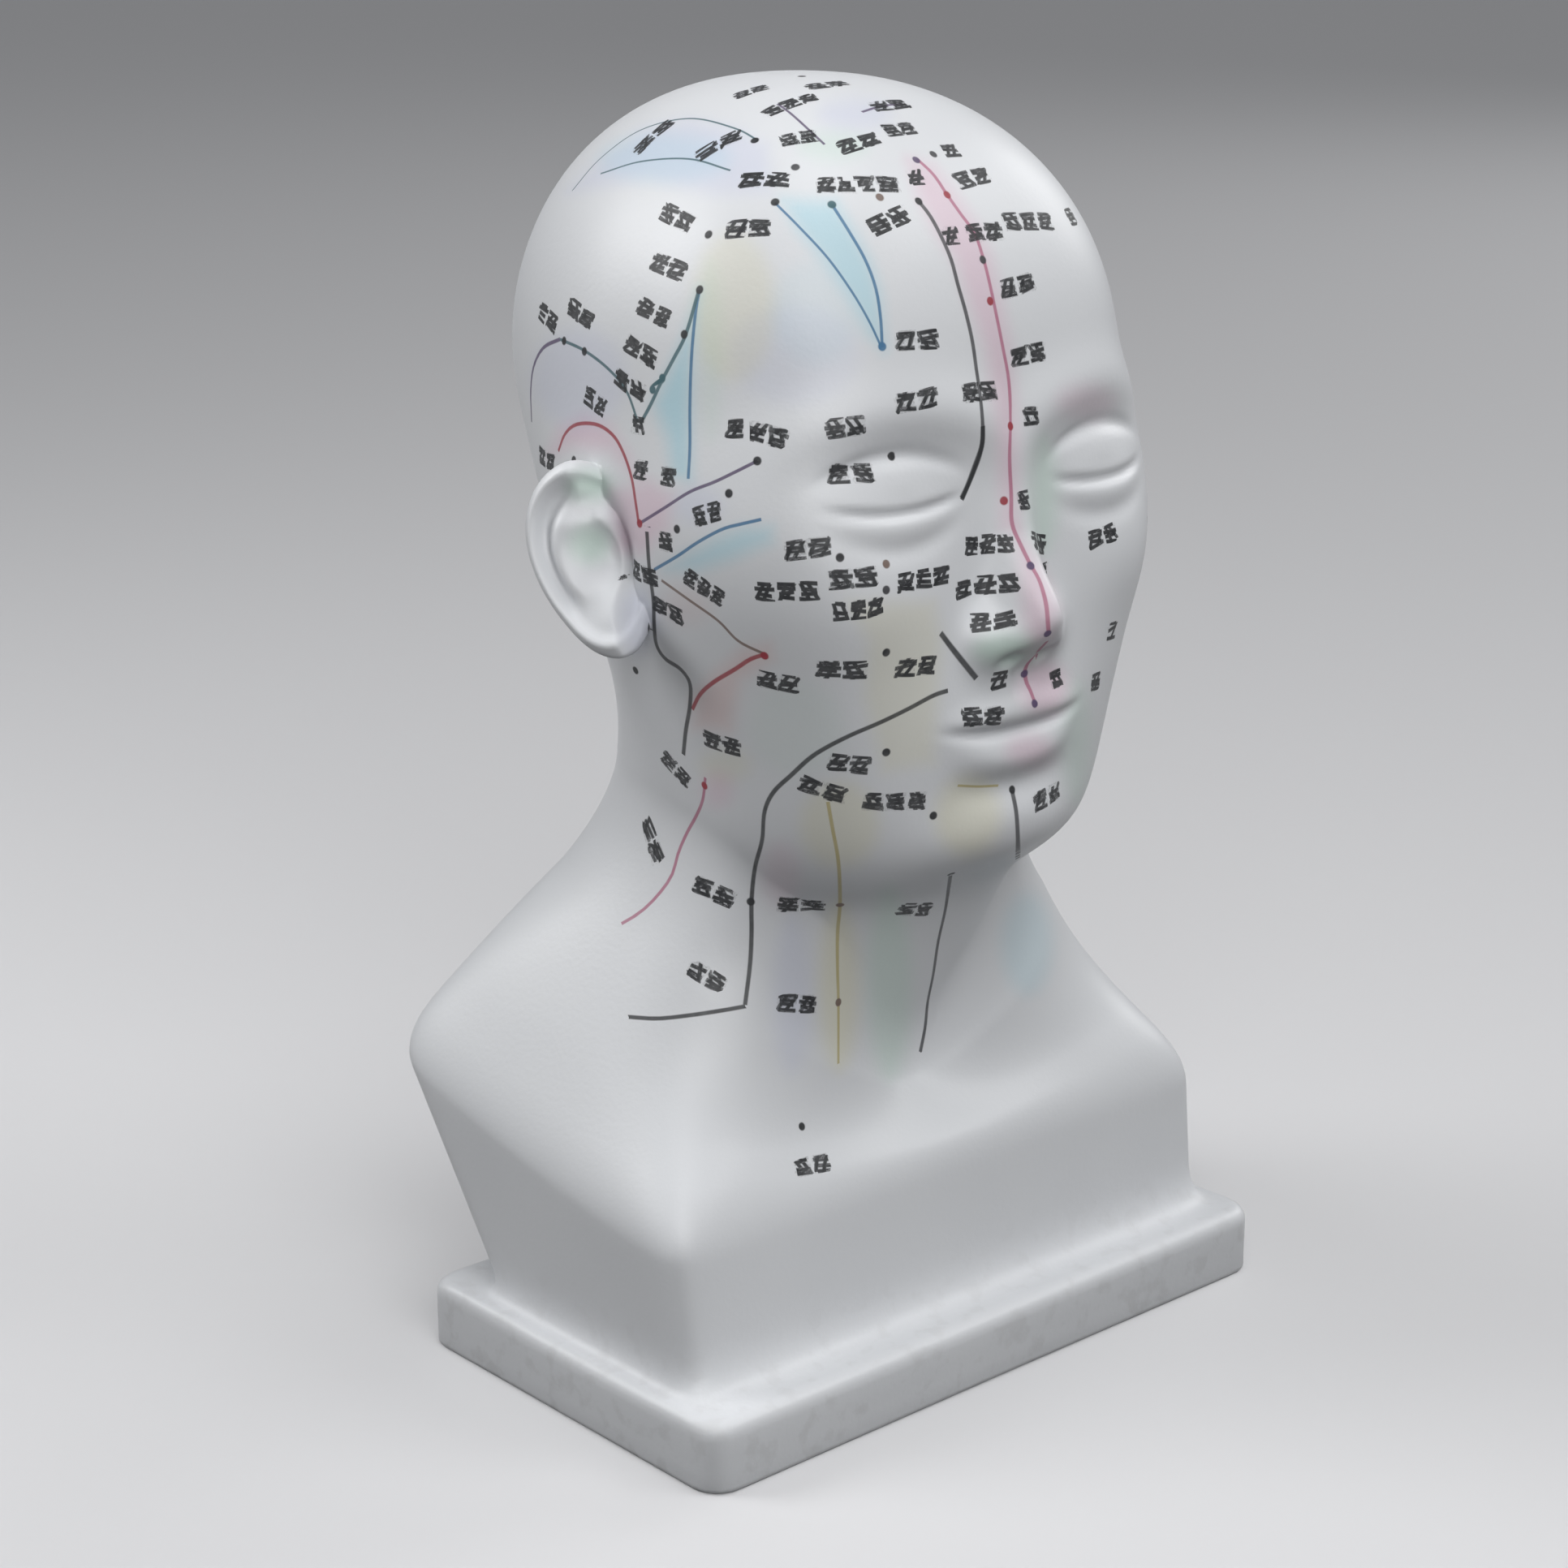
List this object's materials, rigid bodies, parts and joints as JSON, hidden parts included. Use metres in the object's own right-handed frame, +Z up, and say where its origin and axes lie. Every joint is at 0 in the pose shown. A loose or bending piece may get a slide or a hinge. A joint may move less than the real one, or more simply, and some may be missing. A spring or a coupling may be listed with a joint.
{
  "type": "acupuncture head model",
  "caption": "Life-like white head and bust on a slab, printed with acupuncture lines and points, for teaching and display on a desk.",
  "frame": {"origin": "centre of the slab's underside, on the surface the model stands on", "axes": "+Z up through the crown, -Y the way the face looks, +X the figure's own left"},
  "size_m": [0.1524, 0.1338, 0.25],
  "materials": {
    "vinyl": "soft satin white vinyl with a flat printed chart"
  },
  "bodies": {
    "root": {"head_bust_casting": "vinyl"}
  },
  "joints": []
}
